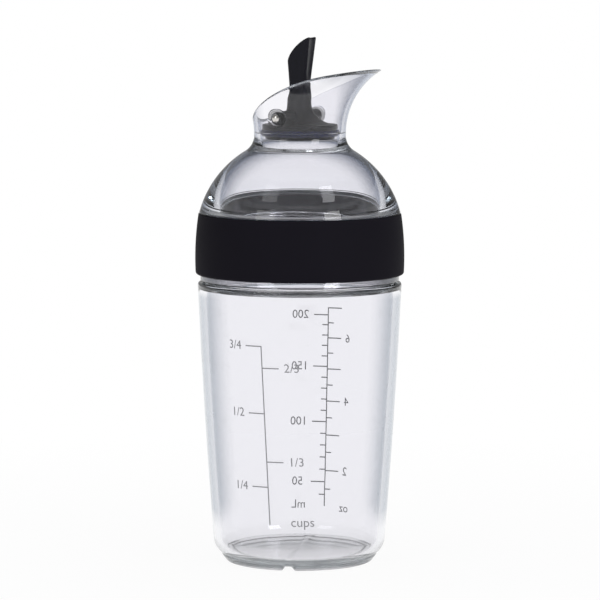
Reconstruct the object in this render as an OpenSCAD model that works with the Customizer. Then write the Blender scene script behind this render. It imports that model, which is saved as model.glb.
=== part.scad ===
// Salad dressing shaker bottle with a screw-on spout dome and a tilting lever stopper.
// Millimetres. Z is up, the bottle stands on Z = 0 on the Z axis, and the spout points to +X.

/* [Bottle] */
// Height of the shoulder that the top screws down to
shoulder_h = 93.8; // [70:0.1:130]
// Radius of the bottle just under its shoulder
shoulder_r = 34.1; // [33.6:0.1:38]
// Radius of the bottle just above its rounded bottom corner
heel_r = 28.9; // [26.5:0.1:33]
// How far the side bows out between bottom corner and shoulder
side_bow = 0.35; // [0:0.05:1.5]
// Radius of the bottom corner
heel_round = 6.5; // [4:0.1:9]
// Radius of the rounded shoulder edge
shoulder_round = 1.6; // [0.6:0.1:2.4]
// Thickness of the side wall
side_wall = 2.6; // [1.6:0.1:3.6]
// Thickness of the floor above the recess under the base
floor_t = 3.0; // [1.6:0.1:5]
// Outer radius of the foot ring where it leaves the base
foot_r = 26.0; // [23.6:0.1:26.4]
// Width of the foot ring
foot_w = 3.4; // [2:0.1:5]
// Height of the foot ring
foot_h = 2.0; // [1.2:0.1:2.6]
// Width of each drain notch in the foot ring
notch_w = 4.4; // [2:0.1:7]
// Height of each drain notch
notch_h = 1.4; // [0.6:0.1:1.8]
// Direction of the drain notches about the axis
notch_turn = -71; // [-180:1:180]

/* [Neck] */
// How far the neck between its threads is set in from the shoulder
neck_set = 3.9; // [3.5:0.1:5]
// Thickness of the neck
neck_wall = 2.6; // [1.6:0.1:3]
// Height of the neck above the shoulder
neck_h = 21.6; // [16:0.1:21.6]
// Height of the rim gasket
gasket_h = 1.6; // [1:0.1:2.4]
// Gap between the skirt's lower end and the shoulder
seam_gap = 0.5; // [0.3:0.1:1.5]

/* [Dome] */
// How far the dome reaches out past the shoulder
dome_out = 0.9; // [0:0.1:1.9]
// Height of the dome's centre above the shoulder
dome_rise = 14.0; // [12:0.1:16]
// Gap between the neck and the skirt, which the two threads share
thread_room = 1.2; // [0.8:0.1:1.4]
// Thickness of the skirt behind the grip collar
skirt_wall = 1.9; // [1.2:0.1:2.2]
// How much smaller the radius of the curve inside the dome is than the dome's own
inside_less = 12.6; // [12:0.1:13.2]
// Height of the straight bore between the gasket ledge and that curve
inside_rise = 0.5; // [0.2:0.1:1]

/* [Spout] */
// Outer radius of the throat, the narrowest place of the spout
throat_r = 15.35; // [14.8:0.05:17]
// Thickness of the spout wall
spout_wall = 1.45; // [1.2:0.05:1.6]
// Radius of the hollow fillet between dome and throat
throat_fillet = 6.0; // [3:0.1:9]
// Radius of the curve that flares the spout outwards
flare_round = 24.7; // [21:0.1:30]
// Height of the spout's tip above the throat
tip_rise = 22.4; // [18:0.1:24]
// Radius of the curved cut that shapes the pouring rim
rim_round = 62.0; // [45:0.5:90]
// Distance of the highest line of that cut in front of the axis
rim_forward = 29.0; // [24:0.1:34]

/* [Grip collar] */
// Height of the clear skirt that shows under the grip collar
skirt_show = 2.2; // [0.5:0.1:4]
// Height of the grip collar
collar_h = 20.4; // [16:0.1:22]
// Thickness of the grip collar at its widest
collar_t = 1.7; // [1:0.1:2.5]
// Radius of the collar's bulging outside
collar_bulge = 99; // [60:1:200]
// Radius of the collar's rounded edges
collar_edge = 0.9; // [0.3:0.1:0.9]

/* [Stopper] */
// Radius of the silicone seal where it is widest
seal_r = 13.0; // [12.6:0.05:13.1]
// Height of the silicone seal
seal_h = 2.2; // [1.6:0.1:2.6]
// Gap between the seal and its seat in the throat
seat_gap = 0.3; // [0.2:0.05:0.5]
// Thickness of the stopper disc above the seal
disc_t = 1.8; // [1.2:0.1:2.4]
// Thickness of the flange under the seal
flange_t = 1.3; // [0.8:0.1:1.6]
// Radius of the spool between disc and flange that carries the seal
spool_r = 9.5; // [7:0.1:10.5]

/* [Hinge] */
// Diameter of the hinge pin
pin_d = 2.8; // [2:0.1:3.2]
// How far the pin's domed ends stand out of the spout wall
pin_proud = 0.25; // [0:0.05:0.5]
// Radius of the pin's domed ends
pin_dome = 2.0; // [1.7:0.1:6]
// Distance of the pin behind the axis
pin_back = 0.9; // [0.5:0.1:1.5]
// Height of the pin above the stopper disc
pin_up = 2.5; // [2.2:0.1:3.2]
// Diameter of the stopper's hinge knuckles
knuckle_d = 4.8; // [4.2:0.1:5]
// Diameter of the bearing pads inside the spout wall
pad_d = 6.6; // [5.4:0.1:7]
// Gap between each knuckle and its bearing pad
pad_gap = 0.3; // [0.2:0.05:0.5]
// Running clearance of the knuckles on the pin, on the radius
pin_play = 0.05; // [0.03:0.01:0.08]

/* [Lever] */
// Radius of the stem over its bell-shaped foot
stem_r = 4.0; // [3:0.1:4.6]
// Radius of the hollow curve of the stem's foot
bell_round = 6.0; // [4:0.1:7]
// Height of the stem above the stopper disc
stem_h = 13.0; // [11:0.1:15]
// Height of the lever's tip above the pin
lever_h = 26.4; // [22:0.1:30]
// Depth of the lever, front to back, where it leaves the stem
lever_depth = 6.6; // [5:0.1:7.4]
// Width of the lever where it leaves the stem
lever_width = 5.0; // [3.6:0.1:6]
// How much deeper the lever is at its tip
lever_spread = 2.0; // [0:0.1:3]
// How much wider the lever is at its tip
lever_widen = 1.6; // [0:0.1:3]
// Radius of the lever's rounded top
lever_top_round = 15.4; // [12:0.1:24]
// Radius of the thumb scoop in the lever's front
scoop_r = 5.0; // [4:0.1:8]
// Depth of the thumb scoop at the tip
scoop_depth = 1.0; // [0.4:0.1:1.5]

/* [Hidden] */
$fn = 96;
cut = 1;
side_steps = 8;

// Levels of the bottle and its neck
heel_z = foot_h + heel_round - 0.6;
inner_heel = heel_round - side_wall + 0.6;
recess_z = foot_h - 0.6;
floor_z = recess_z + floor_t;
rim_z = shoulder_h + neck_h;
neck_r = shoulder_r - neck_set;
neck_in = neck_r - neck_wall;

// Levels and radii of the dome, its skirt and the ledge over the gasket
ledge_z = rim_z + gasket_h;
ledge_r = neck_in;
dome_r = shoulder_r + dome_out;
inside_round = dome_r - inside_less;
dome_z = shoulder_h + dome_rise;
skirt_z = shoulder_h + seam_gap;
skirt_in = neck_r + thread_room;
skirt_r = skirt_in + skirt_wall;
collar_z = skirt_z + skirt_show;
collar_top = collar_z + collar_h;
collar_mid = collar_z + 0.27 * collar_h;
fillet_z = dome_z + sqrt(pow(dome_r + throat_fillet, 2) - pow(throat_r + throat_fillet, 2));
tangent_z = dome_z + (fillet_z - dome_z) * dome_r / (dome_r + throat_fillet);
throat_z = fillet_z + 0.7;
tip_z = throat_z + tip_rise;
flare_x = throat_r + flare_round;
seat_r = seal_r + seat_gap;
land_top = throat_z + 0.5;
inside_x = ledge_r - inside_round;
inside_z = ledge_z + inside_rise;
bore_z = inside_z + sqrt(pow(inside_round, 2) - pow(seat_r - inside_x, 2));

// Levels of the stopper, which hangs on the pin
seal_mid = throat_z + 0.4;
seal_top = seal_mid + seal_h * 0.45;
seal_z = seal_top - seal_h;
disc_r = seal_r - 0.4;
flange_r = seal_r - 1.4;
disc_top = seal_top + disc_t;
pin_z = disc_top + pin_up;
pin_x = -pin_back;
flare_out_r = flare_x - sqrt(pow(flare_round, 2) - pow(pin_z - throat_z, 2));
flare_in_r = flare_x - sqrt(pow(flare_round + spout_wall, 2) - pow(pin_z - throat_z, 2));
pin_len = 2 * (flare_out_r + pin_proud);
pad_face = flare_in_r - 0.6;
stem_x = -pin_back + 0.6;
lever_x = stem_x + 0.4;
lever_z = disc_top + stem_h;
lever_top = pin_z + lever_h;

// A circle at X, Z in the outline of a turned piece
module dot(x, z, r, sides = 96) {
    translate([x, z]) circle(r = r, $fn = sides);
}

// A block between two heights and two radii in the outline of a turned piece
module band(r0, r1, z0, z1) {
    translate([r0, z0]) square([r1 - r0, z1 - z0]);
}

// Radius of the bottle's side at a share of its height, less an inset
function side_r(t, inset) = heel_r + (shoulder_r - heel_r) * t + side_bow * 4 * t * (1 - t) - inset;

// Height that goes with that share
function side_z(t) = heel_z + (shoulder_h - shoulder_round - heel_z) * t;

// Outline of the bottle's side between bottom corner and shoulder
module side_outline(inset) {
    points = [for (i = [0:side_steps]) let (t = i / side_steps) [side_r(t, inset), side_z(t)]];
    polygon(concat([[0, side_z(0)]], points, [[0, side_z(1)]]));
}

// Rounded bottom of an outline, with its corner's lowest line at a height
module corner_outline(r, round, top) {
    band(0, r - round, top - round, top);
    intersection() {
        dot(r - round, top, round);
        band(0, r, top - round, top);
    }
}

// The clear bottle: body, rounded shoulder, plain neck and foot ring with drain notches
module bottle() {
    color([0.86, 0.89, 0.92, 0.4])
    difference() {
        rotate_extrude() difference() {
            union() {
                side_outline(0);
                corner_outline(heel_r, heel_round, heel_z);
                polygon([[0, 0], [foot_r - 1.2, 0], [foot_r, foot_h], [0, foot_h]]);
                band(0, shoulder_r - shoulder_round, shoulder_h - shoulder_round, shoulder_h);
                intersection() {
                    dot(shoulder_r - shoulder_round, shoulder_h - shoulder_round, shoulder_round);
                    band(0, shoulder_r, shoulder_h - shoulder_round, shoulder_h);
                }
                band(0, neck_r, shoulder_h - cut, rim_z);
            }
            intersection() {
                union() {
                    side_outline(side_wall);
                    corner_outline(heel_r - side_wall, inner_heel, heel_z);
                }
                band(0, shoulder_r, floor_z, shoulder_h - side_wall);
            }
            band(0, neck_in, shoulder_h - side_wall - cut, rim_z + cut);
            band(0, foot_r - foot_w, -cut, recess_z);
        }
        for (side = [0, 180])
            rotate([0, 0, notch_turn + side])
                translate([foot_r - foot_w - cut, -notch_w / 2, -cut])
                    cube([foot_w + 2 * cut, notch_w, notch_h + cut]);
    }
}

// Silicone ring between the bottle's rim and the dome's ledge
module rim_gasket() {
    color([0.8, 0.84, 0.86])
    rotate_extrude() band(neck_in + 0.2, skirt_in - 0.1, rim_z, ledge_z);
}

// Outside of the dome and spout, before the rim is cut
module dome_outside() {
    band(0, skirt_r, skirt_z, collar_top + cut);
    intersection() {
        dot(0, dome_z, dome_r);
        band(0, dome_r, collar_top, tangent_z);
    }
    difference() {
        band(0, throat_r + throat_fillet, tangent_z - cut, fillet_z);
        dot(throat_r + throat_fillet, fillet_z, throat_fillet);
        difference() {
            band(0, dome_r, tangent_z - 2 * cut, tangent_z);
            dot(0, dome_z, dome_r);
        }
    }
    band(0, throat_r, fillet_z - cut, throat_z + cut);
    difference() {
        band(0, flare_x, throat_z, tip_z + cut);
        dot(flare_x, throat_z, flare_round);
    }
}

// Inside of the dome and spout, with the seat of the stopper and the ledge over the gasket
module dome_inside() {
    band(0, skirt_in, skirt_z - cut, ledge_z);
    band(0, ledge_r, ledge_z - cut, inside_z);
    intersection() {
        dot(inside_x, inside_z, inside_round);
        band(0, ledge_r, inside_z - cut / 2, bore_z);
    }
    band(0, seat_r, bore_z - cut, land_top + cut);
    difference() {
        band(0, flare_x, land_top, tip_z + 2 * cut);
        dot(flare_x, throat_z, flare_round + spout_wall);
    }
}

// The clear dome with its skirt, throat and flared spout, cut to the pouring rim
module spout_dome() {
    color([0.86, 0.89, 0.93, 0.4])
    difference() {
        union() {
            intersection() {
                rotate_extrude() difference() {
                    dome_outside();
                    dome_inside();
                }
                rim_shape();
            }
            for (side = [-1, 1]) intersection() {
                translate([pin_x, side * (pad_face + flare_out_r) / 2, pin_z])
                    rotate([90, 0, 0])
                        cylinder(h = flare_out_r - pad_face, d = pad_d, center = true);
                rotate_extrude() dome_outside();
            }
        }
        translate([pin_x, 0, pin_z])
            rotate([90, 0, 0])
                cylinder(h = 3 * dome_r, d = pin_d, center = true);
    }
}

// Everything under the curved cut of the pouring rim
module rim_shape() {
    translate([rim_forward, 0, tip_z - rim_round])
        rotate([90, 0, 0])
            cylinder(h = 3 * dome_r, r = rim_round, center = true, $fn = 240);
    translate([0, 0, throat_z / 2])
        cube([3 * dome_r, 3 * dome_r, throat_z], center = true);
}

// The soft black collar round the skirt, with a bulging outside and rounded edges
module grip_collar() {
    collar_r = skirt_r + collar_t;
    edge_r = collar_r - 0.35;
    color([0.1, 0.1, 0.12])
    rotate_extrude() intersection() {
        dot(collar_r - collar_bulge, collar_mid, collar_bulge, 720);
        union() {
            band(skirt_r, collar_r + cut, collar_z + collar_edge, collar_top - collar_edge);
            band(skirt_r, edge_r - collar_edge, collar_z, collar_top);
            dot(edge_r - collar_edge, collar_z + collar_edge, collar_edge);
            dot(skirt_r + collar_edge / 2, collar_top - collar_edge, collar_edge);
        }
        band(skirt_r, collar_r + cut, collar_z, collar_top);
    }
}

// The polished steel pin through spout wall and stopper, with slightly domed ends
module hinge_pin() {
    color([0.75, 0.75, 0.77])
    translate([pin_x, 0, pin_z])
        rotate([90, 0, 0])
            intersection() {
                cylinder(h = pin_len, d = pin_d, center = true);
                union() {
                    cylinder(h = pin_len - 2 * pin_dome, r = pin_dome, center = true);
                    for (side = [-1, 1])
                        translate([0, 0, side * (pin_len / 2 - pin_dome)])
                            sphere(r = pin_dome);
                }
            }
}

// The black stopper: disc and flange that hold the seal, hinge knuckles, stem and thumb lever
module stopper_lever() {
    color([0.08, 0.08, 0.09])
    difference() {
        union() {
            rotate_extrude() {
                band(0, flange_r, seal_z - flange_t, seal_z);
                band(0, spool_r, seal_z - 0.1, seal_top + 0.1);
                band(0, disc_r, seal_top, disc_top);
            }
            stem();
            intersection() {
                translate([pin_x, 0, pin_z])
                    rotate([90, 0, 0])
                        cylinder(h = 2 * (pad_face - pad_gap), d = knuckle_d, center = true);
                cylinder(h = 3 * dome_r + throat_z, r = pad_face);
            }
            thumb_lever();
        }
        translate([pin_x, 0, pin_z])
            rotate([90, 0, 0])
                cylinder(h = 3 * dome_r, r = pin_d / 2 + pin_play, center = true);
    }
}

// Round stem that swells like a bell onto the stopper disc
module stem() {
    translate([stem_x, 0, 0])
        rotate_extrude() {
            band(0, stem_r, disc_top - 0.1, lever_z);
            difference() {
                band(0, stem_r + bell_round, disc_top - 0.1, disc_top + bell_round);
                dot(stem_r + bell_round, disc_top + bell_round, bell_round);
            }
        }
}

// Slab with rounded corners, a cross-section of the thumb lever
module lever_slab(depth, width, z) {
    round = 1.1;
    translate([lever_x, 0, z])
        for (sx = [-1, 1], sy = [-1, 1])
            translate([sx * (depth / 2 - round), sy * (width / 2 - round), 0])
                cylinder(h = 0.5, r = round, $fn = 32);
}

// Thumb lever that widens upwards, with a rounded top that rises to the front and a scooped front
module thumb_lever() {
    tip_x = lever_x + (lever_depth + lever_spread) / 2;
    difference() {
        intersection() {
            hull() {
                lever_slab(lever_depth, lever_width, lever_z - 4);
                lever_slab(lever_depth + lever_spread, lever_width + lever_widen, lever_top);
            }
            translate([tip_x + 0.36 * lever_top_round, 0, lever_top - 0.93 * lever_top_round])
                rotate([90, 0, 0])
                    cylinder(h = 4 * lever_width, r = lever_top_round, center = true, $fn = 120);
        }
        translate([tip_x - scoop_depth + scoop_r, 0, lever_z])
            cylinder(h = lever_h, r = scoop_r);
    }
}

// Navy silicone ring in the stopper's groove, with a rounded sealing lip
module stopper_seal() {
    lip = seal_h * 0.45;
    color([0.1, 0.12, 0.25])
    rotate_extrude() intersection() {
        union() {
            band(spool_r, seal_r - lip, seal_z, seal_top);
            dot(seal_r - lip, seal_mid, lip);
            band(spool_r, seal_r - lip / 2, seal_z, seal_mid);
        }
        band(spool_r, seal_r, seal_z, seal_top);
    }
}

bottle();
rim_gasket();
spout_dome();
grip_collar();
hinge_pin();
stopper_lever();
stopper_seal();
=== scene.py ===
import math

import bmesh
import bpy
from mathutils import Matrix, Vector


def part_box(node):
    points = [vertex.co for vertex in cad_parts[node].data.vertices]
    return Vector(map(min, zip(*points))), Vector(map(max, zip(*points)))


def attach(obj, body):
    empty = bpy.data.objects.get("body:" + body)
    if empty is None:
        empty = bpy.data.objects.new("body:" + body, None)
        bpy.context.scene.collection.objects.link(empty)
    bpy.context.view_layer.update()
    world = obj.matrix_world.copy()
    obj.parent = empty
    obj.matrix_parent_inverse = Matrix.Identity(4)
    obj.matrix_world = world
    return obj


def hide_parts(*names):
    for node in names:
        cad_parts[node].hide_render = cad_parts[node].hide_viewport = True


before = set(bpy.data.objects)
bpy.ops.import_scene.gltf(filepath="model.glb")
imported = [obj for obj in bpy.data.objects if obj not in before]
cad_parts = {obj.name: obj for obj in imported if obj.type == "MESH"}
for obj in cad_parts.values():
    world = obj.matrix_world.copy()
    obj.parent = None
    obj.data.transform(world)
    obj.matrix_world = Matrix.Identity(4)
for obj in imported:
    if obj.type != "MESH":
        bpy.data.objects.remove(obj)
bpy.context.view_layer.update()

# The outlines below are in millimetres, and a mesh is scaled to metres where it is built
MM = 0.001
AROUND = 288


def node_box(name):
    """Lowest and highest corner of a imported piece, in millimetres."""
    low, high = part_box(name)
    return low / MM, high / MM


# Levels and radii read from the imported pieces
BOTTLE_LOW, BOTTLE_HIGH = node_box("bottle")
DOME_LOW, DOME_HIGH = node_box("spout_dome")
COLLAR_LOW, COLLAR_HIGH = node_box("grip_collar")
GASKET_LOW, GASKET_HIGH = node_box("rim_gasket")
PIN_LOW, PIN_HIGH = node_box("hinge_pin")
SEAL_LOW, SEAL_HIGH = node_box("stopper_seal")
LEVER_LOW, LEVER_HIGH = node_box("stopper_lever")

# Bottle
SHOULDER_R = 34.1
SHOULDER_Z = 93.8
SHOULDER_ROUND = 0.8
SIDE_TOP = SHOULDER_Z - 1.6
HEEL_R = 28.9
HEEL_ROUND = 6.5
SIDE_BOW = 0.35
SIDE_WALL = 2.6
FOOT_R = 26.0
FOOT_W = 3.4
FOOT_H = 2.0
RECESS_Z = 1.4
FLOOR_Z = 4.4
HEEL_Z = 7.9
INNER_HEEL = 4.5
NOTCH_TURN = -71.0
NOTCH_TOP_W = 2.0
NOTCH_FOOT_W = 5.0
NOTCH_H = 1.4
NECK_R = 30.2
NECK_IN = 27.6
RIM_Z = BOTTLE_HIGH.z

# Screw thread, a right-handed helix
LEAD = 6.0
THREAD_LOW = 98.4
THREAD_HIGH = 107.6
THREAD_DEPTH = 0.9
THREAD_W = 2.3

# Dome and spout
SKIRT_IN = 31.4
SKIRT_R = 33.3
LEDGE_Z = GASKET_HIGH.z
DOME_R = COLLAR_HIGH.x
DOME_Z = 107.8
FILLET_R = 6.0
THROAT_R = 15.35
FLARE_R = 24.7
SPOUT_WALL = 1.45
FILLET_Z = DOME_Z + math.sqrt((DOME_R + FILLET_R) ** 2 - (THROAT_R + FILLET_R) ** 2)
THROAT_Z = FILLET_Z + 0.7
FLARE_X = THROAT_R + FLARE_R
LAND_TOP = THROAT_Z + 0.5
SEAT_R = SEAL_HIGH.x + 0.3
INSIDE_ROUND = 22.4
INSIDE_X = NECK_IN - INSIDE_ROUND
INSIDE_Z = LEDGE_Z + 0.5
RIM_CUT_R = 62.0
RIM_CUT_X = 29.0
RIM_CUT_Z = THROAT_Z + 22.4 - RIM_CUT_R

# Hinge and stopper
PIN_X = (PIN_LOW.x + PIN_HIGH.x) / 2
PIN_Z = (PIN_LOW.z + PIN_HIGH.z) / 2
PIN_R = (PIN_HIGH.x - PIN_LOW.x) / 2
PIN_END = PIN_HIGH.y
PAD_R = 3.3
PAD_FACE = 13.93
KNUCKLE_R = 2.4
KNUCKLE_END = PAD_FACE - 0.3
DISC_R = SEAL_HIGH.x - 0.4
DISC_TOP = SEAL_HIGH.z + 1.8
FLANGE_R = SEAL_HIGH.x - 1.4
SPOOL_R = 9.5
STEM_X = PIN_X + 0.6


def arc(cx, cz, radius, start, end, steps):
    """Points of an arc in an outline, its angles in degrees from the outward direction."""
    turns = [math.radians(start + (end - start) * i / steps) for i in range(steps + 1)]
    return [(cx + radius * math.cos(a), cz + radius * math.sin(a)) for a in turns]


def line(first, last, steps):
    """Points of a straight stretch of an outline, ends included."""
    shares = [i / steps for i in range(steps + 1)]
    return [(first[0] + (last[0] - first[0]) * t, first[1] + (last[1] - first[1]) * t) for t in shares]


def mesh_piece(name, vertices, faces, sharp=32.0):
    """A new object from points in millimetres, its faces turned outwards and shaded smooth between creases."""
    mesh = bpy.data.meshes.new(name)
    mesh.from_pydata([Vector(v) * MM for v in vertices], [], faces)
    work = bmesh.new()
    work.from_mesh(mesh)
    bmesh.ops.remove_doubles(work, verts=work.verts, dist=1e-7)
    bmesh.ops.recalc_face_normals(work, faces=work.faces)
    work.to_mesh(mesh)
    work.free()
    mesh.shade_smooth()
    mesh.set_sharp_from_angle(angle=math.radians(sharp))
    piece = bpy.data.objects.new(name, mesh)
    bpy.context.scene.collection.objects.link(piece)
    return piece


def skin(name, rings, closed=False, sharp=32.0):
    """A piece from rings of points, each joined to the next. A ring of one point closes an end."""
    starts = [0]
    for points in rings:
        starts.append(starts[-1] + len(points))
    faces = [] if closed else [
        tuple(range(starts[k], starts[k] + len(rings[k]))) for k in (0, len(rings) - 1) if len(rings[k]) > 2
    ]
    for a in range(len(rings) if closed else len(rings) - 1):
        b = (a + 1) % len(rings)
        many = max(len(rings[a]), len(rings[b]))
        for i in range(many):
            j = (i + 1) % many
            corners = [starts[a] + i % len(rings[a]), starts[a] + j % len(rings[a]),
                       starts[b] + j % len(rings[b]), starts[b] + i % len(rings[b])]
            faces.append(tuple(dict.fromkeys(corners)))
    return mesh_piece(name, [p for points in rings for p in points], faces, sharp)


def turned(name, outline, shape=None):
    """A piece turned about Z from its outline: closed, or from axis to axis. shape(r, z, angle) may move a point."""
    rings = []
    for r, z in outline:
        if r == 0:
            rings.append([(0, 0, z)])
            continue
        points = []
        for i in range(AROUND):
            angle = 2 * math.pi * i / AROUND
            radius, height = (r, z) if shape is None else shape(r, z, angle)
            points.append((radius * math.cos(angle), radius * math.sin(angle), height))
        rings.append(points)
    return skin(name, rings, closed=outline[0][0] > 0)


def smooth_step(low, high, value):
    """0 below low, 1 above high, and a smooth ramp between them."""
    t = min(1.0, max(0.0, (value - low) / (high - low)))
    return t * t * (3 - 2 * t)


def ridge(z, angle, phase):
    """Share of the thread's full depth at a height and direction, 0 between the ridges."""
    turn = (z - THREAD_LOW) / LEAD - angle / (2 * math.pi) + phase
    offset = abs(turn - round(turn)) * LEAD
    start = smooth_step(THREAD_LOW, THREAD_LOW + 1.2, z)
    end = 1 - smooth_step(THREAD_HIGH - 1.2, THREAD_HIGH, z)
    return start * end * (1 - smooth_step(THREAD_W / 4, THREAD_W / 2, offset))


def side_radius(z, inset=0.0):
    """Radius of the bottle's side at a height."""
    t = (z - HEEL_Z) / (SIDE_TOP - HEEL_Z)
    return HEEL_R + (SHOULDER_R - HEEL_R) * t + SIDE_BOW * 4 * t * (1 - t) - inset


def bottle_outline():
    """Outline of the bottle's wall, from the middle of its underside round to the middle of its floor."""
    side_top = SHOULDER_Z - SHOULDER_ROUND
    side = [HEEL_Z + (side_top - HEEL_Z) * i / 24 for i in range(25)]
    inner_top = SHOULDER_Z - 1.7
    inner_levels = [inner_top, inner_top - 0.25] + [z for _, z in line((0, inner_top - 0.5), (0, HEEL_Z), 24)]
    thread = line((NECK_R, THREAD_LOW - 0.2), (NECK_R, THREAD_HIGH + 0.2), 48)
    shoulder_x = side_radius(side_top) - SHOULDER_ROUND
    return (
        [(0, RECESS_Z)]
        + arc(FOOT_R - FOOT_W - 0.5, RECESS_Z - 0.5, 0.5, 90, 0, 4)
        + arc(FOOT_R - FOOT_W + 0.35, 0.35, 0.35, 180, 270, 4)
        + arc(FOOT_R - 1.7, 0.5, 0.5, 270, 340, 4)
        + [(FOOT_R - 0.05, FOOT_H - 0.1)]
        + arc(HEEL_R - HEEL_ROUND, HEEL_Z, HEEL_ROUND, -57, -2, 14)
        + [(side_radius(z), z) for z in side]
        + arc(shoulder_x, side_top, SHOULDER_ROUND, 12, 90, 8)
        + arc(NECK_R + 0.5, SHOULDER_Z + 0.5, 0.5, 270, 180, 4)
        + thread
        + arc(NECK_R - 0.5, RIM_Z - 0.5, 0.5, 0, 90, 5)
        + arc(NECK_IN + 0.5, RIM_Z - 0.5, 0.5, 90, 180, 5)
        + arc(NECK_IN + 0.6, inner_top + 0.6, 0.6, 180, 260, 4)
        + [(side_radius(z, SIDE_WALL) - 0.4 * smooth_step(inner_top - 0.5, inner_top, z), z) for z in inner_levels]
        + arc(HEEL_R - SIDE_WALL - INNER_HEEL, HEEL_Z, INNER_HEEL, 0, -51, 16)
        + [(HEEL_R - SIDE_WALL - INNER_HEEL - 0.6, FLOOR_Z), (0, FLOOR_Z)]
    )


def bottle_shape(r, z, angle):
    """Raises the thread on the neck and the two drain notches in the foot ring."""
    if THREAD_LOW < z < THREAD_HIGH and r > NECK_R - 0.1:
        r += THREAD_DEPTH * ridge(z, angle, 0.0)
    if z < NOTCH_H and r > FOOT_R - FOOT_W - 1:
        for side in (0, 180):
            away = math.remainder(angle - math.radians(NOTCH_TURN + side), 2 * math.pi)
            depth = 1 - smooth_step(NOTCH_TOP_W / 2, NOTCH_FOOT_W / 2, abs(away) * FOOT_R)
            z += (NOTCH_H - z) * depth
    return r, z


def rim_cut(x, y):
    """Height of the pouring rim at a point beside the axis. It falls a little to both sides and at the tip."""
    level = RIM_CUT_Z + math.sqrt(RIM_CUT_R ** 2 - (x - RIM_CUT_X) ** 2)
    return level - RIM_SIDE_FALL * y * y - RIM_TIP_FALL * smooth_step(10.0, 27.0, x)


def flare_radius(z, wall):
    """Radius of the flared spout at a height, outside (wall 0) or inside."""
    return FLARE_X - math.sqrt((FLARE_R + wall) ** 2 - (z - THROAT_Z) ** 2)


def rim_height(angle, wall):
    """Height at which one side of the spout's wall meets the cut, found by halving."""
    low, high = THROAT_Z, THROAT_Z + 24.0
    for _ in range(40):
        middle = (low + high) / 2
        radius = flare_radius(middle, wall)
        if middle < rim_cut(radius * math.cos(angle), radius * math.sin(angle)):
            low = middle
        else:
            high = middle
    return low


SPOUT_ROWS = 36
RIM_EDGE = 0.42
RIM_SIDE_FALL = 0.004
RIM_TIP_FALL = 0.6


def dome_columns():
    """Closed outline of the dome's wall for each direction, the same number of points in each."""
    tangent = math.degrees(math.acos((THROAT_R + FILLET_R) / (DOME_R + FILLET_R)))
    foot = math.degrees(math.asin((COLLAR_HIGH.z + 0.1 - DOME_Z) / DOME_R))
    seat = math.degrees(math.acos((SEAT_R + 0.35 - INSIDE_X) / INSIDE_ROUND))
    sunk = SKIRT_R + 0.04
    step_z = COLLAR_HIGH.z - 0.04
    skirt = [(SKIRT_R, COLLAR_LOW.z + 0.25), (sunk, COLLAR_LOW.z + 0.5), (sunk, step_z)]
    outside = (
        arc(SKIRT_R - 0.5, DOME_LOW.z + 0.5, 0.5, -90, 0, 5)
        + skirt
        + arc(0, DOME_Z, DOME_R, foot, tangent, 44)
        + arc(THROAT_R + FILLET_R, FILLET_Z, FILLET_R, 180 + tangent, 180, 18)[1:]
    )
    bore_z = INSIDE_Z + math.sqrt(INSIDE_ROUND ** 2 - (SEAT_R - INSIDE_X) ** 2)
    inside = (
        [(flare_radius(LAND_TOP, SPOUT_WALL), LAND_TOP), (SEAT_R + 0.15, LAND_TOP), (SEAT_R, LAND_TOP - 0.15)]
        + line((SEAT_R, LAND_TOP - 0.3), (SEAT_R, bore_z + 0.3), 4)
        + arc(INSIDE_X, INSIDE_Z, INSIDE_ROUND, seat, 0, 44)
        + [(NECK_IN, LEDGE_Z + 0.15), (NECK_IN + 0.15, LEDGE_Z)]
        + arc(SKIRT_IN - 0.3, LEDGE_Z - 0.3, 0.3, 90, 0, 3)
        + line((SKIRT_IN, THREAD_HIGH + 0.2), (SKIRT_IN, THREAD_LOW - 0.2), 48)
        + arc(SKIRT_IN + 0.5, DOME_LOW.z + 0.5, 0.5, 180, 270, 5)
    )
    columns = []
    for i in range(AROUND):
        angle = 2 * math.pi * i / AROUND
        outer_top = rim_height(angle, 0.0)
        inner_top = rim_height(angle, SPOUT_WALL)
        outer_rows = [THROAT_Z + (outer_top - RIM_EDGE - THROAT_Z) * k / SPOUT_ROWS for k in range(SPOUT_ROWS + 1)]
        inner_rows = [LAND_TOP + (inner_top - RIM_EDGE - LAND_TOP) * k / SPOUT_ROWS for k in range(SPOUT_ROWS, 0, -1)]
        outer = [(flare_radius(z, 0.0), z) for z in outer_rows]
        inner = [(flare_radius(z, SPOUT_WALL), z) for z in inner_rows]
        corner_out = (flare_radius(outer_top, 0.0), outer_top)
        corner_in = (flare_radius(inner_top, SPOUT_WALL), inner_top)
        rim = rounded_edge(outer[-1], corner_out, corner_in, inner[0])
        columns.append(outside + outer + rim + inner + inside)
    return columns


def rounded_edge(first, corner_a, corner_b, last):
    """Points that round the two corners of the pouring rim."""
    points = []
    middle = tuple((a + b) / 2 for a, b in zip(corner_a, corner_b))
    for start, corner, end in ((first, corner_a, middle), (middle, corner_b, last)):
        for k in range(1, 6):
            t = k / 6
            points.append(tuple(
                (1 - t) ** 2 * s + 2 * t * (1 - t) * c + t ** 2 * e for s, c, e in zip(start, corner, end)
            ))
    return points


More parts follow.
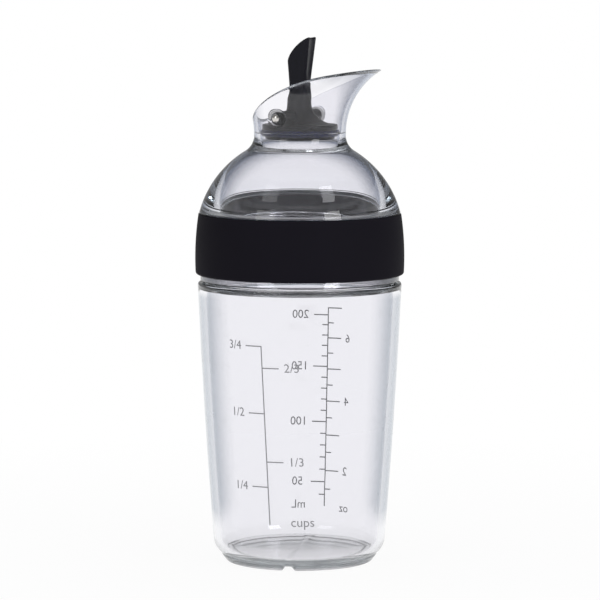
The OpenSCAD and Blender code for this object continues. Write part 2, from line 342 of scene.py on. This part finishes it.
def build_dome():
    """The clear dome, skirt and flared spout as one closed mesh with its bearing pads and pin bore."""
    columns = dome_columns()
    rings = []
    for row in range(len(columns[0])):
        points = []
        for i, column in enumerate(columns):
            angle = 2 * math.pi * i / AROUND
            r, z = column[row]
            if THREAD_LOW < z < THREAD_HIGH and abs(r - SKIRT_IN) < 0.1:
                r -= THREAD_DEPTH * ridge(z, angle, 0.5)
            points.append((r * math.cos(angle), r * math.sin(angle), z))
        rings.append(points)
    dome = skin("clear_spout_dome", rings, closed=True)
    wall = flare_radius(PIN_Z, 0.0)
    for side in (-1, 1):
        pad = cross_rod("pad", PAD_R, side * PAD_FACE, side * (wall - 0.6), 0.3)
        combine(dome, pad, "UNION")
    bore = cross_rod("bore", PIN_R, -25.0, 25.0, 0.0)
    combine(dome, bore, "DIFFERENCE")
    return dome


def cross_ring(radius, y, around=64):
    """A ring of points about the hinge's line."""
    turns = [2 * math.pi * i / around for i in range(around)]
    return [(PIN_X + radius * math.cos(a), y, PIN_Z + radius * math.sin(a)) for a in turns]


def cross_rod(name, radius, start, end, round_off):
    """A rod along Y at the hinge's line, from start to end, the edge at its start rounded off."""
    way = 1 if end > start else -1
    turns = [math.pi / 2 * k / 4 for k in range(5)] if round_off else [math.pi / 2]
    rings = [cross_ring(radius - round_off * (1 - math.sin(a)), start + way * round_off * (1 - math.cos(a)))
             for a in turns]
    return skin(name, rings + [cross_ring(radius, end)])


def combine(piece, tool, operation):
    """Adds a tool piece to a piece or cuts it away, and removes the tool."""
    step = piece.modifiers.new("combine", "BOOLEAN")
    step.object = tool
    step.operation = operation
    step.solver = "EXACT"
    with bpy.context.temp_override(object=piece, active_object=piece, selected_objects=[piece]):
        bpy.ops.object.modifier_apply(modifier=step.name)
    bpy.data.objects.remove(tool)
    piece.data.shade_smooth()
    piece.data.set_sharp_from_angle(angle=math.radians(32))


def build_bottle():
    """The clear tapered bottle with its threaded neck and notched foot ring."""
    return turned("clear_bottle", bottle_outline(), bottle_shape)


def build_collar():
    """The soft grip collar with its bulging outside and rounded edges."""
    bulge = 99.0
    low, high = COLLAR_LOW.z, COLLAR_HIGH.z
    middle = low + 0.27 * (high - low)

    def outside(z):
        return DOME_R - bulge + math.sqrt(bulge ** 2 - (z - middle) ** 2)

    rows = [low + 0.9 + (high - low - 1.3) * i / 28 for i in range(29)]
    outline = (
        [(SKIRT_R, low + 0.15), (SKIRT_R + 0.15, low)]
        + arc(outside(low + 0.9) - 0.9, low + 0.9, 0.9, 270, 355, 8)
        + [(outside(z), z) for z in rows]
        + arc(outside(high - 0.4) - 0.4, high - 0.4, 0.4, 5, 90, 8)
        + [(SKIRT_R + 0.15, high), (SKIRT_R, high - 0.15)]
    )
    return turned("soft_grip_collar", outline)


def build_gasket():
    """The silicone ring between rim and ledge, with rounded edges."""
    inner, outer = NECK_IN + 0.2, GASKET_HIGH.x
    low, high = GASKET_LOW.z + 0.02, GASKET_HIGH.z - 0.02
    outline = (
        arc(inner + 0.4, low + 0.4, 0.4, 180, 270, 4)
        + arc(outer - 0.4, low + 0.4, 0.4, 270, 360, 4)
        + arc(outer - 0.4, high - 0.4, 0.4, 0, 90, 4)
        + arc(inner + 0.4, high - 0.4, 0.4, 90, 180, 4)
    )
    return turned("silicone_rim_gasket", outline)


SEAL_SQUEEZE = 0.03


def build_seal():
    """The stopper's silicone ring: a full lip above and a small wiping lip below."""
    low, high = SEAL_LOW.z, SEAL_HIGH.z
    lip = 0.45 * (high - low)
    outline = (
        [(SPOOL_R, low), (SEAL_HIGH.x - lip / 2 - 0.2, low)]
        + arc(SEAL_HIGH.x - lip / 2 - 0.2, low + 0.2, 0.2, -90, 0, 3)
        + arc(SEAT_R + SEAL_SQUEEZE - lip, high - lip, lip, -55, 90, 12)
        + [(SPOOL_R, high)]
    )
    return turned("silicone_stopper_seal", outline)


def build_pin():
    """The polished pin with domed ends."""
    dome = 2.0
    reach = math.degrees(math.asin(PIN_R / dome))
    ball = PIN_END - dome
    turns = [math.radians(reach * k / 8) for k in range(1, 9)]
    outline = [(dome * math.sin(a), ball + dome * math.cos(a)) for a in turns]
    outline = outline + [(r, -y) for r, y in reversed(outline)]
    ends = [[(PIN_X, PIN_END, PIN_Z)], [(PIN_X, -PIN_END, PIN_Z)]]
    return skin("steel_hinge_pin", [ends[0]] + [cross_ring(r, y) for r, y in outline] + [ends[1]])


STOPPER_AROUND = 128
LEVER_ROWS = 30
LEVER_TOP_R = 15.4
LEVER_LEAN = 0.95
LEVER_DEPTH = 4.3
LEVER_WIDTH = 3.13
STEM_R = 4.0
BELL_H = 7.6
BELL_BACK = 4.0
BELL_FRONT = 8.6


def ring(cx, z, radius, more=0.0):
    """A level ring of points about an upright line, with a larger radius towards the front."""
    points = []
    for i in range(STOPPER_AROUND):
        a = 2 * math.pi * i / STOPPER_AROUND
        reach = radius + more * (1 + math.cos(a)) / 2
        points.append((cx + reach * math.cos(a), reach * math.sin(a), z))
    return points


def lever_top(x):
    """Height of the lever's rounded top, which rises to the front."""
    centre_x = STEM_X + LEVER_LEAN + LEVER_DEPTH + 0.36 * LEVER_TOP_R
    centre_z = LEVER_HIGH.z + 0.25 - 0.93 * LEVER_TOP_R
    return centre_z + math.sqrt(LEVER_TOP_R ** 2 - (x - centre_x) ** 2)


def lever_section(share, inset=0.0):
    """X and Y of the lever's outline at a share of its height: round at the stem, a scooped slab at the tip."""
    slab = smooth_step(0.0, 0.34, share)
    depth = STEM_R + (LEVER_DEPTH - 1.62 * (1 - share) - STEM_R) * slab - inset
    width = STEM_R + (LEVER_WIDTH - 1.28 * (1 - share) - STEM_R) * slab - inset
    power = 2.0 + 3.4 * slab
    centre = STEM_X + LEVER_LEAN * share
    scoop = 0.6 * smooth_step(0.3, 0.55, share)
    points = []
    for i in range(STOPPER_AROUND):
        a = 2 * math.pi * i / STOPPER_AROUND
        c, s = math.cos(a), math.sin(a)
        reach = (abs(c) ** power + abs(s) ** power) ** (-1 / power)
        x, y = depth * reach * c, width * reach * s
        if x > 0:
            x -= scoop * max(0.0, 1 - (y / (0.86 * width)) ** 2) * (x / depth) ** 6
        points.append((centre + x, y))
    return points


def build_stopper():
    """The black stopper: flange, spool, disc, bell-footed stem and thumb lever in one skin, and its knuckles."""
    rings = [
        [(0, 0, LEVER_LOW.z)], ring(0, LEVER_LOW.z, FLANGE_R - 0.35), ring(0, LEVER_LOW.z + 0.1, FLANGE_R - 0.1),
        ring(0, LEVER_LOW.z + 0.35, FLANGE_R), ring(0, SEAL_LOW.z - 0.2, FLANGE_R), ring(0, SEAL_LOW.z, FLANGE_R - 0.2),
        ring(0, SEAL_LOW.z, SPOOL_R), ring(0, SEAL_HIGH.z, SPOOL_R), ring(0, SEAL_HIGH.z, DISC_R - 0.15),
        ring(0, SEAL_HIGH.z + 0.15, DISC_R), ring(0, DISC_TOP - 0.4, DISC_R), ring(0, DISC_TOP - 0.12, DISC_R - 0.12),
        ring(0, DISC_TOP, DISC_R - 0.4),
    ]
    for k in range(17):
        turn = math.radians(270 - 90 * k / 16)
        out = 1 + math.cos(turn)
        more = (BELL_FRONT - BELL_BACK) * out
        rings.append(ring(STEM_X, DISC_TOP + BELL_H * (1 + math.sin(turn)), STEM_R + BELL_BACK * out, more))
    stem_top = DISC_TOP + BELL_H
    for k in range(1, LEVER_ROWS + 1):
        share = k / LEVER_ROWS
        points = lever_section(share)
        rings.append([(x, y, stem_top + (lever_top(x) - 0.55 - stem_top) * share) for x, y in points])
    for inset, drop in ((0.05, 0.35), (0.16, 0.16), (0.35, 0.04), (0.6, 0.0)):
        rings.append([(x, y, lever_top(x) - drop) for x, y in lever_section(1.0, inset)])
    middle = STEM_X + LEVER_LEAN
    for shrink in (0.7, 0.4):
        rings.append([(middle + (x - middle) * shrink, y * shrink, lever_top(middle + (x - middle) * shrink))
                      for x, y in lever_section(1.0, 0.6)])
    rings.append([(middle, 0, lever_top(middle))])
    stopper = skin("black_stopper_lever", rings)
    for side in (-1, 1):
        knuckle = cross_rod("knuckle", KNUCKLE_R, side * KNUCKLE_END, side * 2.0, 0.3)
        combine(stopper, knuckle, "UNION")
    bore = cross_rod("bore", PIN_R + 0.05, -20.0, 20.0, 0.0)
    combine(stopper, bore, "DIFFERENCE")
    return stopper


# Measuring scales, printed on the outside of the wall
CUP_ML = 236.6
OUNCE_ML = 29.57
CUPS_TURN = -84.8
CUPS_SLANT = 0.054
METRIC_TURN = 99.4
LINE_W = 0.38
INK_T = 0.03
TEXT_H = 2.95
TICK_L = 5.3


def volume_marks():
    """Heights and volumes inside the bottle, in steps of a tenth of a millimetre."""
    marks = [(FLOOR_Z, 0.0)]
    z, volume, step = FLOOR_Z, 0.0, 0.1
    while z < RIM_Z:
        middle = z + step / 2
        if middle < HEEL_Z:
            radius = HEEL_R - SIDE_WALL - INNER_HEEL + math.sqrt(max(0.0, INNER_HEEL ** 2 - (HEEL_Z - middle) ** 2))
        else:
            radius = side_radius(middle, SIDE_WALL)
        volume += math.pi * radius ** 2 * step / 1000
        z += step
        marks.append((z, volume))
    return marks


VOLUME_MARKS = volume_marks()


def fill_height(millilitres):
    """Height at which the bottle holds a volume."""
    return next(z for z, volume in VOLUME_MARKS if volume >= millilitres)


def cups_height(share):
    """Height of a mark for a share of a cup, as the photograph shows them spread."""
    return 28.6 + 1.073 * (fill_height(CUP_ML * share) - 30.3)


def metric_height(millilitres):
    """Height of a millilitre mark on the far side, as the photograph shows them spread."""
    return 21.9 + 1.045 * (fill_height(millilitres) - 26.6)


def wrap(work, turn, z):
    """Bends flat print round the bottle's side. X of the print runs round the wall and Y up it, in millimetres."""
    for v in work.verts:
        height = z + v.co.y
        base = side_radius(height)
        angle = math.radians(turn) + v.co.x / base
        if turn == CUPS_TURN:
            angle += math.radians(CUPS_SLANT * (75.5 - height))
        radius = base + (INK_T if v.co.z > 0 else -INK_T / 2)
        v.co = Vector((radius * math.cos(angle), radius * math.sin(angle), height))


def add_bar(target, x0, x1, y0, y1, turn, z):
    """A printed line between two corners, as a thin wrapped slab."""
    work = bmesh.new()
    columns = max(1, math.ceil((x1 - x0) / 0.8))
    rows = max(1, math.ceil((y1 - y0) / 2.0))
    grid = {}
    for level in (0, 1):
        for i in range(columns + 1):
            for j in range(rows + 1):
                x = x0 + (x1 - x0) * i / columns
                y = y0 + (y1 - y0) * j / rows
                grid[level, i, j] = work.verts.new((x, y, level))
    for i in range(columns):
        for j in range(rows):
            work.faces.new([grid[1, i, j], grid[1, i + 1, j], grid[1, i + 1, j + 1], grid[1, i, j + 1]])
            work.faces.new([grid[0, i, j], grid[0, i, j + 1], grid[0, i + 1, j + 1], grid[0, i + 1, j]])
    for i in range(columns):
        work.faces.new([grid[0, i, 0], grid[0, i + 1, 0], grid[1, i + 1, 0], grid[1, i, 0]])
        work.faces.new([grid[1, i, rows], grid[1, i + 1, rows], grid[0, i + 1, rows], grid[0, i, rows]])
    for j in range(rows):
        work.faces.new([grid[0, 0, j + 1], grid[0, 0, j], grid[1, 0, j], grid[1, 0, j + 1]])
        work.faces.new([grid[0, columns, j], grid[0, columns, j + 1], grid[1, columns, j + 1], grid[1, columns, j]])
    wrap(work, turn, z)
    append(target, work)


def append(target, work):
    """Adds one small mesh to the mesh that gathers the print."""
    part = bpy.data.meshes.new("print_part")
    work.to_mesh(part)
    work.free()
    target.from_mesh(part)
    bpy.data.meshes.remove(part)


def add_text(target, words, x, turn, z, height=TEXT_H, align="CENTER"):
    """Printed words or numbers, centred in height on z, wrapped on the wall as a thin slab."""
    curve = bpy.data.curves.new("print_words", "FONT")
    curve.body = words
    curve.size = height / 0.72
    curve.align_x = align
    curve.align_y = "CENTER"
    curve.resolution_u = 4
    words_object = bpy.data.objects.new("print_words", curve)
    bpy.context.scene.collection.objects.link(words_object)
    bpy.context.view_layer.update()
    flat = words_object.to_mesh()
    work = bmesh.new()
    work.from_mesh(flat)
    words_object.to_mesh_clear()
    bpy.data.objects.remove(words_object)
    bpy.data.curves.remove(curve)
    bmesh.ops.remove_doubles(work, verts=work.verts, dist=1e-5)
    bmesh.ops.translate(work, verts=work.verts, vec=(x, 0, 0))
    low = min(v.co.x for v in work.verts)
    high = max(v.co.x for v in work.verts)
    cuts = math.ceil((high - low) / 0.8)
    for k in range(1, cuts):
        place = low + (high - low) * k / cuts
        everything = work.verts[:] + work.edges[:] + work.faces[:]
        bmesh.ops.bisect_plane(work, geom=everything, plane_co=(place, 0, 0), plane_no=(1, 0, 0))
    raised = bmesh.ops.extrude_face_region(work, geom=work.faces[:] + work.edges[:] + work.verts[:])
    new_verts = [g for g in raised["geom"] if isinstance(g, bmesh.types.BMVert)]
    bmesh.ops.translate(work, verts=new_verts, vec=(0, 0, 1))
    bmesh.ops.recalc_face_normals(work, faces=work.faces)
    wrap(work, turn, z)
    append(target, work)


def build_print():
    """Both measuring scales: cups on one side, millilitres and fluid ounces on the other."""
    ink = bmesh.new()
    half = LINE_W / 2
    foot, top = 16.0, cups_height(3 / 4)
    add_bar(ink, -half, half, 0, top + half - foot, CUPS_TURN, foot)
    for share, label, side in ((1 / 4, "1/4", -1), (1 / 3, "1/3", 1), (1 / 2, "1/2", -1), (2 / 3, "2/3", 1),
                               (3 / 4, "3/4", -1)):
        z = cups_height(share)
        ends = sorted((0, side * (TICK_L + 0.4)))
        add_bar(ink, ends[0], ends[1], -half, half, CUPS_TURN, z)
        add_text(ink, label, side * 10.0, CUPS_TURN, z)
    add_text(ink, "cups", 11.0, CUPS_TURN, 16.9, 3.15)
    foot, top = 13.5, metric_height(7 * OUNCE_ML)
    add_bar(ink, -half, half, 0, top + half - foot, METRIC_TURN, foot)
    for tens in range(4, 21):
        z = metric_height(tens * 10.0)
        long = tens % 5 == 0
        add_bar(ink, 0, TICK_L if long else 2.2, -half, half, METRIC_TURN, z)
        if long:
            add_text(ink, str(tens * 10), 10.2, METRIC_TURN, z)
    for halves in range(3, 15):
        z = metric_height(halves * OUNCE_ML / 2)
        add_bar(ink, -TICK_L if halves % 2 == 0 else -2.2, 0, -half, half, METRIC_TURN, z)
        if halves in (4, 8, 12):
            add_text(ink, str(halves // 2), -8.0, METRIC_TURN, z)
    add_text(ink, "mL", 9.6, METRIC_TURN, 14.0)
    add_text(ink, "oz", -8.0, METRIC_TURN, 13.2)
    mesh = bpy.data.meshes.new("measuring_scales")
    ink.to_mesh(mesh)
    ink.free()
    mesh.transform(((MM, 0, 0, 0), (0, MM, 0, 0), (0, 0, MM, 0), (0, 0, 0, 1)))
    piece = bpy.data.objects.new("measuring_scales", mesh)
    bpy.context.scene.collection.objects.link(piece)
    return piece


class Value:
    """A socket in an arithmetic expression. Each operation adds its Math node."""

    def __init__(self, finish, socket):
        self.finish = finish
        self.socket = socket

    def _math(self, operation, first, second):
        return self.finish.node("ShaderNodeMath", {"operation": operation}, {0: first, 1: second})

    def __add__(self, other):
        return self._math("ADD", self, other)

    __radd__ = __add__

    def __sub__(self, other):
        return self._math("SUBTRACT", self, other)

    def __rsub__(self, other):
        return self._math("SUBTRACT", other, self)

    def __mul__(self, other):
        return self._math("MULTIPLY", self, other)

    __rmul__ = __mul__

    def __truediv__(self, other):
        return self._math("DIVIDE", self, other)

    def __pow__(self, other):
        return self._math("POWER", self, other)

    def limit(self):
        """The value held between 0 and 1."""
        return self._math("MINIMUM", self._math("MAXIMUM", self, 0.0), 1.0)


class Finish:
    """The nodes of a material or of the world."""

    def __init__(self, owner):
        owner.use_nodes = True
        self.tree = owner.node_tree
        self.tree.nodes.clear()

    def node(self, kind, settings=None, inputs=None, output=0):
        """Adds a node, sets it up, joins or sets its inputs, and returns one of its outputs."""
        node = self.tree.nodes.new(kind)
        for name, value in (settings or {}).items():
            if name == "stops":
                for stop, (place, shade) in zip(node.color_ramp.elements, value):
                    stop.position, stop.color = place, (*shade, 1.0)
            else:
                setattr(node, name, value)
        for name, value in (inputs or {}).items():
            if isinstance(value, Value):
                self.tree.links.new(value.socket, node.inputs[name])
            else:
                node.inputs[name].default_value = value
        return Value(self, node.outputs[output]) if node.outputs else None

    def blend(self, share, first, second):
        """A colour between two colours."""
        colours = {6: colour(first), 7: colour(second)}
        return self.node("ShaderNodeMix", {"data_type": "RGBA"}, {0: share, **colours}, output=2)

    def place(self):
        """The point on the surface, in metres."""
        return self.node("ShaderNodeTexCoord", output="Object")

    def noise(self, scale, detail=3.0, roughness=0.5):
        """Even noise between 0 and 1, its scale in cells for each metre."""
        settings = {"noise_dimensions": "3D"}
        inputs = {"Vector": self.place(), "Scale": scale, "Detail": detail, "Roughness": roughness}
        return self.node("ShaderNodeTexNoise", settings, inputs)

    def bump(self, height, distance, strength):
        """A surface normal from a height."""
        return self.node("ShaderNodeBump", None, {"Height": height, "Distance": distance, "Strength": strength})


def colour(value):
    """Three numbers as a colour, or a socket as it is."""
    return value if isinstance(value, Value) else (*value, 1.0)


def new_finish(name):
    material = bpy.data.materials.new(name)
    return material, Finish(material)


def clear_finish(name, body, edge, ior, low, high, haze):
    """Clear moulded plastic: faint flow waves, painted edge shade that darkens the colour towards a second colour where
    the surface is seen edge-on between two heights, a hazy foot.
    """
    material, finish = new_finish(name)
    facing = finish.node("ShaderNodeLayerWeight", None, {"Blend": 0.5}, output="Facing")
    height = finish.node("ShaderNodeSeparateXYZ", None, {0: finish.place()}, output="Z")
    between = ((height - low) / 0.006).limit() * ((high - height) / 0.002).limit()
    # Painted shade: the colour darkens towards the edge colour where the surface turns edge-on, in place of the dark
    # edges that refraction shows
    rim = ((facing - 0.35) / 0.4).limit() * between
    waves = finish.noise(55.0, 2.0)
    foot = (1.0 - (height - 0.0045) / 0.004).limit()
    rough = 0.012 * finish.noise(420.0, 2.0) + haze * foot
    surface = finish.node("ShaderNodeBsdfPrincipled", None, {
        "Base Color": finish.blend(rim, body, edge),
        "Roughness": rough,
        "IOR": ior,
        "Transmission Weight": 1.0,
        "Normal": finish.bump(waves, 0.0006, 0.06),
    })
    tint = finish.node("ShaderNodeVolumeAbsorption", None, {"Color": (0.72, 0.82, 0.85, 1.0), "Density": 12.0})
    finish.node("ShaderNodeOutputMaterial", None, {"Surface": surface, "Volume": tint})
    return material


def solid_finish(name, deep, light, rough, grain, grain_depth, **constants):
    """Opaque rubber, plastic or metal: a slightly cloudy colour and a fine moulded grain."""
    material, finish = new_finish(name)
    cloud = finish.noise(120.0, 4.0)
    fine = finish.noise(grain, 2.0)
    settings = {
        "Base Color": finish.blend(cloud, deep, light),
        "Roughness": rough + 0.1 * (cloud - 0.5) + 0.06 * (fine - 0.5),
        "Normal": finish.bump(fine, grain_depth, 0.5),
    }
    settings.update(constants)
    surface = finish.node("ShaderNodeBsdfPrincipled", None, settings)
    finish.node("ShaderNodeOutputMaterial", None, {"Surface": surface})
    return material


def make_finishes():
    """One material for each slot, and the ink of the scales."""
    return {
        # The second colour of each clear plastic is its painted edge shade, not a tint of the plastic
        "clear_plastic": clear_finish("clear_plastic", (0.93, 0.925, 0.95), (0.3, 0.34, 0.4), 1.47, 0.012, 0.0915, 0.14),
        "dome_plastic": clear_finish("dome_plastic", (0.925, 0.92, 0.955), (0.13, 0.16, 0.24), 1.43, 0.09, 0.2, 0.0),
        "clear_silicone": solid_finish(
            "clear_silicone", (0.55, 0.57, 0.6), (0.62, 0.64, 0.67), 0.35, 2500.0, 2e-5,
            **{"Transmission Weight": 0.6, "IOR": 1.41}),
        "soft_grip": solid_finish(
            "soft_grip", (0.0075, 0.0066, 0.0105), (0.009, 0.008, 0.0125), 0.7, 5000.0, 0.0,
            **{"Specular IOR Level": 0.06, "Sheen Weight": 0.015, "Sheen Roughness": 0.3}),
        "pin_steel": solid_finish(
            "pin_steel", (0.62, 0.6, 0.57), (0.7, 0.68, 0.65), 0.2, 5000.0, 4e-6, Metallic=1.0),
        "black_plastic": solid_finish(
            "black_plastic", (0.0035, 0.0035, 0.0075), (0.005, 0.005, 0.01), 0.32, 7000.0, 5e-7,
            **{"Specular IOR Level": 0.16}),
        "navy_silicone": solid_finish(
            "navy_silicone", (0.003, 0.007, 0.06), (0.004, 0.01, 0.075), 0.42, 6000.0, 1e-6,
            **{"Specular IOR Level": 0.12}),
        "scale_ink": solid_finish(
            "scale_ink", (0.28, 0.28, 0.3), (0.33, 0.33, 0.35), 0.6, 9000.0, 4e-6,
            **{"Specular IOR Level": 0.2}),
    }


def dress(piece, material, body, slot, *nodes):
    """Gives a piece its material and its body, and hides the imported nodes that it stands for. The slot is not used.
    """
    piece.data.materials.clear()
    piece.data.materials.append(material)
    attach(piece, body)
    if nodes:
        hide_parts(*nodes)


def shown_ray(finish):
    """1 for a ray that shows the background: from the camera, off a gloss or through a clear wall."""
    rays = [finish.node("ShaderNodeLightPath", output=name)
            for name in ("Is Camera Ray", "Is Glossy Ray", "Is Transmission Ray")]
    return (rays[0] + rays[1] + rays[2]).limit()


def make_world():
    """A white studio that darkens overhead for gloss and clear walls, and a plain level of light elsewhere."""
    world = bpy.data.worlds.new("studio")
    bpy.context.scene.world = world
    finish = Finish(world)
    white, dim, plain = (
        finish.node("ShaderNodeBackground", None, {"Color": (1.0, 1.0, 1.0, 1.0), "Strength": strength})
        for strength in (1.0, 0.25, 0.55)
    )
    direction = finish.node("ShaderNodeTexCoord", output="Generated")
    east, north, height = (
        finish.node("ShaderNodeSeparateXYZ", None, {0: direction}, output=axis) for axis in "XYZ"
    )
    camera_ray, gloss_ray = (
        finish.node("ShaderNodeLightPath", output=name) for name in ("Is Camera Ray", "Is Glossy Ray")
    )
    side = east * math.cos(VIEW_TURN) + north * math.sin(VIEW_TURN)
    overhead = ((height - 0.25) / 0.55).limit() * 0.85
    front = east * math.sin(VIEW_TURN) - north * math.cos(VIEW_TURN)
    flags = ((side - 0.15) / 0.4).limit() * 0.5 + ((front - 0.1) / 0.4).limit() * 0.8
    shade = (overhead + flags + gloss_ray * 0.85).limit() * (1.0 - camera_ray)
    studio = finish.node("ShaderNodeMixShader", None, {0: shade, 1: white, 2: dim})
    shown = finish.node("ShaderNodeMixShader", None, {0: shown_ray(finish), 1: plain, 2: studio})
    finish.node("ShaderNodeOutputWorld", None, {"Surface": shown})


FLOOR_R = 12.0
SHADOW_R = 0.3


def make_floor():
    """A pale floor that shows white and keeps a faint shadow round the foot."""
    rings = [0.0001, 0.1, SHADOW_R, 1.0, FLOOR_R]
    around = 96
    vertices = [(r * math.cos(2 * math.pi * i / around), r * math.sin(2 * math.pi * i / around), -0.00006)
                for r in rings for i in range(around)]
    faces = [tuple(range(around))]
    for row in range(len(rings) - 1):
        for i in range(around):
            j = (i + 1) % around
            faces.append((row * around + i, row * around + j, (row + 1) * around + j, (row + 1) * around + i))
    mesh = bpy.data.meshes.new("floor")
    mesh.from_pydata(vertices, [], faces)
    floor = bpy.data.objects.new("floor", mesh)
    bpy.context.scene.collection.objects.link(floor)
    material, finish = new_finish("pale_floor")
    away = finish.node("ShaderNodeVectorMath", {"operation": "LENGTH"}, {0: finish.place()}, output="Value")
    near = (1.0 - away / SHADOW_R).limit()
    pale = finish.node("ShaderNodeBsdfDiffuse", None, {"Color": (0.86, 0.86, 0.87, 1.0)})
    white = finish.node("ShaderNodeEmission", None, {"Color": (1.0, 1.0, 1.0, 1.0), "Strength": 1.0})
    share = shown_ray(finish) * (1.0 - 0.06 * near)
    surface = finish.node("ShaderNodeMixShader", None, {0: share, 1: pale, 2: white})
    finish.node("ShaderNodeOutputMaterial", None, {"Surface": surface})
    mesh.materials.append(material)


def make_lamp(name, turn, height, wide, tall, power):
    """A soft upright lamp at a turn to the right of the camera, which faces the dome."""
    data = bpy.data.lights.new(name, "AREA")
    data.shape = "RECTANGLE"
    data.size = wide
    data.size_y = tall
    data.energy = power
    lamp = bpy.data.objects.new(name, data)
    around = VIEW_TURN + math.radians(turn)
    lamp.location = Vector((math.sin(around), -math.cos(around), 0)) * LAMP_DISTANCE + Vector((0, 0, height))
    lamp.rotation_euler = (Vector((0, 0, 0.11)) - lamp.location).to_track_quat("-Z", "Y").to_euler()
    lamp.visible_camera = False
    bpy.context.scene.collection.objects.link(lamp)


LAMP_DISTANCE = 1.5

# Camera, from the photograph's view
VIEW_TURN = math.radians(27.5)
VIEW_DISTANCE = 1.2
VIEW_HEIGHT = 0.212
AIM_HEIGHT = 0.0876
AIM_RIGHT = 0.0001
LEAN = math.radians(0.1)
FOCAL = 216.0


def make_camera():
    """The camera at the photograph's viewing angle, with its slight lean."""
    data = bpy.data.cameras.new("camera")
    data.lens = FOCAL
    data.sensor_width = 36.0
    data.clip_start = 0.05
    data.clip_end = 60.0
    camera = bpy.data.objects.new("camera", data)
    back = Vector((math.sin(VIEW_TURN), -math.cos(VIEW_TURN), 0))
    right = Vector((math.cos(VIEW_TURN), math.sin(VIEW_TURN), 0))
    camera.location = back * VIEW_DISTANCE + Vector((0, 0, VIEW_HEIGHT))
    aim = right * AIM_RIGHT + Vector((0, 0, AIM_HEIGHT))
    turn = (aim - camera.location).to_track_quat("-Z", "Y").to_matrix()
    roll = turn @ Vector((0, 0, 1))
    camera.rotation_euler = (Matrix.Rotation(LEAN, 3, roll) @ turn).to_euler()
    bpy.context.scene.collection.objects.link(camera)
    bpy.context.scene.camera = camera


scene = bpy.context.scene
scene.view_settings.view_transform = "Standard"
scene.cycles.max_bounces = 32
scene.cycles.transmission_bounces = 32
scene.cycles.glossy_bounces = 16

finishes = make_finishes()
dress(build_bottle(), finishes["clear_plastic"], "bottle", "clear_plastic", "bottle")
dress(build_print(), finishes["scale_ink"], "bottle", "black_plastic")
dress(build_gasket(), finishes["clear_silicone"], "gasket", "clear_silicone", "rim_gasket")
dress(build_dome(), finishes["dome_plastic"], "top", "dome_plastic", "spout_dome")
dress(build_collar(), finishes["soft_grip"], "top", "soft_grip", "grip_collar")
dress(build_pin(), finishes["pin_steel"], "top", "pin_steel", "hinge_pin")
dress(build_stopper(), finishes["black_plastic"], "stopper", "black_plastic", "stopper_lever")
dress(build_seal(), finishes["navy_silicone"], "stopper", "navy_silicone", "stopper_seal")

make_world()
make_floor()
make_lamp("key", 40.0, 0.62, 0.5, 0.8, 7.0)
make_lamp("fill", -42.0, 0.62, 0.6, 0.8, 3.5)
make_camera()
